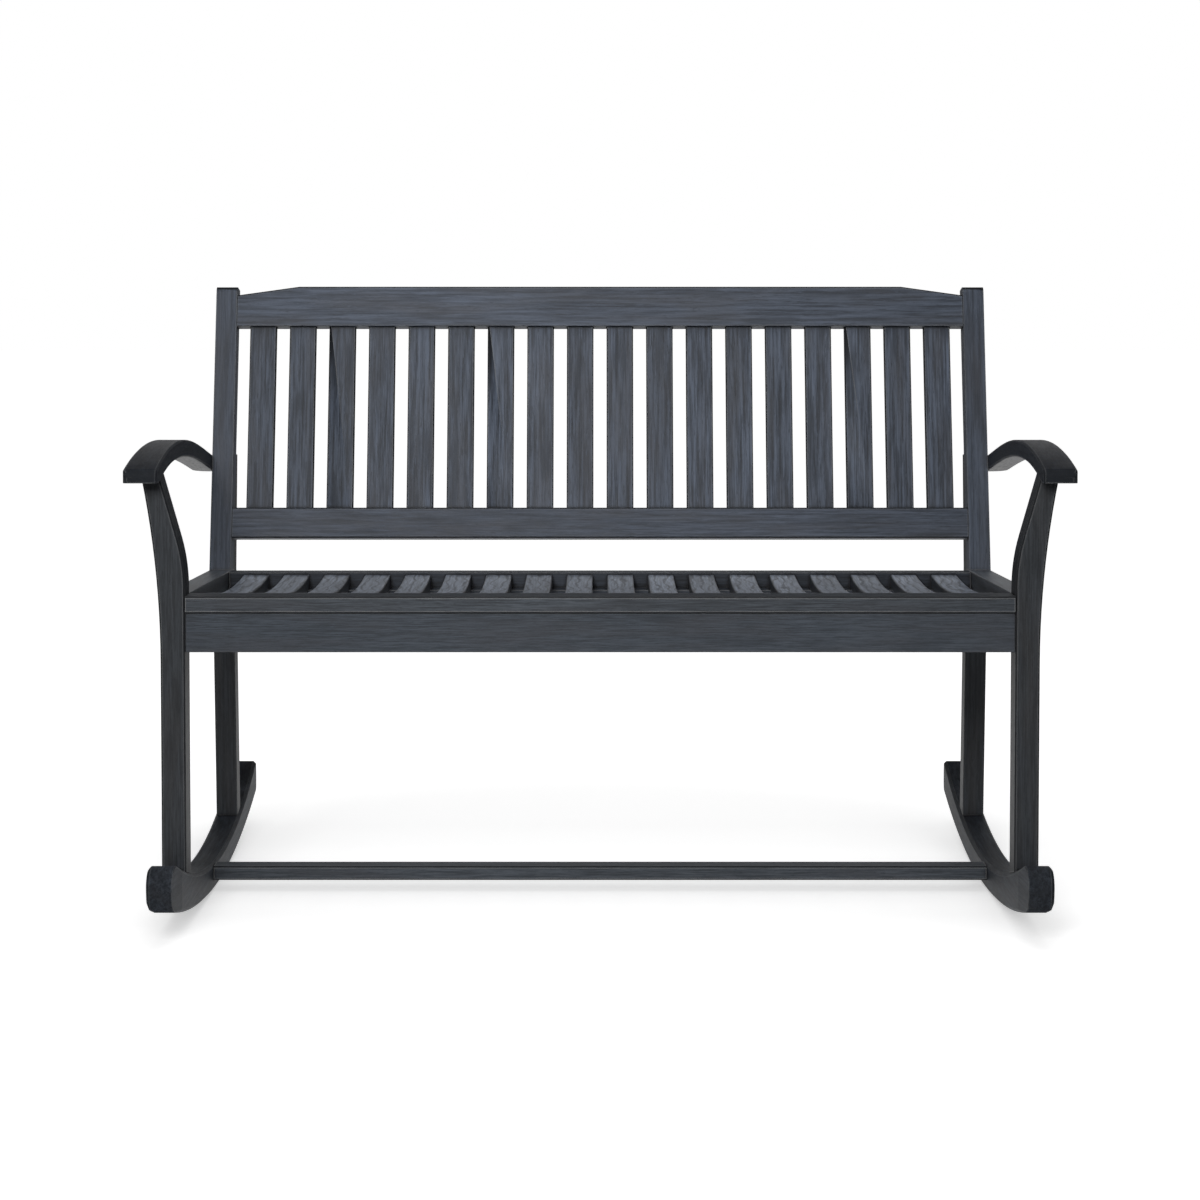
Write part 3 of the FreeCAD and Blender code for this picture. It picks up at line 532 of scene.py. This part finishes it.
def floor_material():
    """Pale floor: it bounces a little light, and to the camera it is white where nothing shades it."""
    material = bpy.data.materials.new("pale_floor")
    material.use_nodes = True
    tree = material.node_tree
    tree.nodes.remove(tree.nodes["Principled BSDF"])
    bounce = add(tree, "ShaderNodeBsdfDiffuse")
    bounce.inputs["Color"].default_value = grey(FLOOR_BOUNCE)
    shown = add(tree, "ShaderNodeBsdfDiffuse")
    shown.inputs["Color"].default_value = grey(FLOOR_SHADOW)
    place = add(tree, "ShaderNodeTexCoord").outputs["Object"]
    length = add(tree, "ShaderNodeVectorMath", operation="LENGTH")
    link(tree, vector_maths(tree, "SUBTRACT", place, FLOOR_MIDDLE), length.inputs[0])
    distance = length.outputs["Value"]
    glow = add(tree, "ShaderNodeEmission")
    link(tree, floor_glow(tree, distance), glow.inputs["Strength"])
    both = add(tree, "ShaderNodeAddShader")
    link(tree, shown.outputs[0], both.inputs[0])
    link(tree, glow.outputs[0], both.inputs[1])
    path = add(tree, "ShaderNodeLightPath")
    near = opposite(tree, stretch(tree, distance, FLOOR_MIRROR_RADII))
    mirrored = times(tree, path.outputs["Is Glossy Ray"], near)
    seen = maths(tree, "MAXIMUM", path.outputs["Is Camera Ray"], path.outputs["Is Transmission Ray"])
    choice = add(tree, "ShaderNodeMixShader")
    link(tree, maths(tree, "MAXIMUM", seen, mirrored), choice.inputs[0])
    link(tree, bounce.outputs[0], choice.inputs[1])
    link(tree, both.outputs[0], choice.inputs[2])
    link(tree, choice.outputs[0], tree.nodes["Material Output"].inputs["Surface"])
    return material


def make_floor():
    half = FLOOR_HALF
    mesh = bpy.data.meshes.new("floor")
    corners = [(-half, -half, 0), (half, -half, 0), (half, half, 0), (-half, half, 0)]
    mesh.from_pydata(corners, [], [(0, 1, 2, 3)])
    floor = bpy.data.objects.new("floor", mesh)
    bpy.context.scene.collection.objects.link(floor)
    mesh.materials.append(floor_material())


def make_world():
    """White to the camera; for the object a bright band round the horizon and a dim ceiling."""
    world = bpy.data.worlds.new("studio")
    world.use_nodes = True
    tree = world.node_tree
    background = tree.nodes["Background"]
    path = add(tree, "ShaderNodeLightPath")
    apart = add(tree, "ShaderNodeSeparateXYZ")
    link(tree, add(tree, "ShaderNodeTexCoord").outputs["Generated"], apart.inputs[0])
    overhead = stretch(tree, apart.outputs["Z"], CEILING_HEIGHTS)
    height_share = opposite(tree, times(tree, overhead, 1.0 - CEILING))
    behind = stretch(tree, apart.outputs["Y"], BEHIND_DEPTHS)
    depth_share = plus(tree, FRONT, times(tree, behind, 1.0 - FRONT))
    band = times(tree, height_share, depth_share)
    glossy = times(tree, path.outputs["Is Glossy Ray"], WORLD_GLOSS - WORLD_FILL)
    strength = times(tree, band, plus(tree, glossy, WORLD_FILL))
    seen = maths(tree, "MAXIMUM", path.outputs["Is Camera Ray"], path.outputs["Is Transmission Ray"])
    background.inputs["Color"].default_value = grey(1.0)
    link(tree, maths(tree, "MAXIMUM", seen, strength), background.inputs["Strength"])
    bpy.context.scene.world = world


def area_light(name, place, aim, size, watts, spread, mirrored=True):
    """A rectangular lamp with a spread in degrees; mirrored lamps show in reflections."""
    light = bpy.data.lights.new(name, "AREA")
    light.shape = "RECTANGLE"
    light.size, light.size_y = size
    light.energy = watts
    light.spread = math.radians(spread)
    lamp = bpy.data.objects.new(name, light)
    lamp.location = place
    lamp.visible_glossy = mirrored
    lamp.rotation_euler = (Vector(aim) - Vector(place)).to_track_quat("-Z", "Y").to_euler()
    bpy.context.scene.collection.objects.link(lamp)


def make_lights():
    area_light("key", place=(-0.55, -3.2, 1.9), aim=(0.0, 0.25, 0.95), size=(1.2, 1.2), watts=12, spread=70)
    area_light("top", place=(0.0, -0.4, 2.8), aim=(0.0, 0.05, 0.5), size=(1.8, 1.0), watts=7, spread=120)
    area_light("rear", place=(0.6, 3.6, 1.5), aim=(0.0, 0.2, 0.55), size=(1.6, 1.2), watts=7, spread=90,
               mirrored=False)
    area_light("fill", place=(1.9, -3.4, 1.5), aim=(0.1, 0.25, 0.8), size=(1.2, 1.2), watts=0.7, spread=90)


def make_camera():
    camera = bpy.data.objects.new("camera", bpy.data.cameras.new("camera"))
    camera.data.sensor_width = SENSOR
    camera.data.lens = SENSOR * FOCAL_PIXELS / PHOTO_SIZE
    camera.data.shift_x = 0.5 - PRINCIPAL_X / PHOTO_SIZE
    camera.data.shift_y = PRINCIPAL_Y / PHOTO_SIZE - 0.5
    turn = Matrix.Rotation(math.pi / 2 - CAMERA_PITCH, 4, "X")
    camera.matrix_world = Matrix.Translation(CAMERA_PLACE) @ turn
    bpy.context.scene.collection.objects.link(camera)
    bpy.context.scene.camera = camera


# Scene


for name, node in nodes.items():
    dress(node, material_for(name))
make_floor()
make_world()
make_lights()
make_camera()
bpy.context.scene.view_settings.view_transform = "Standard"
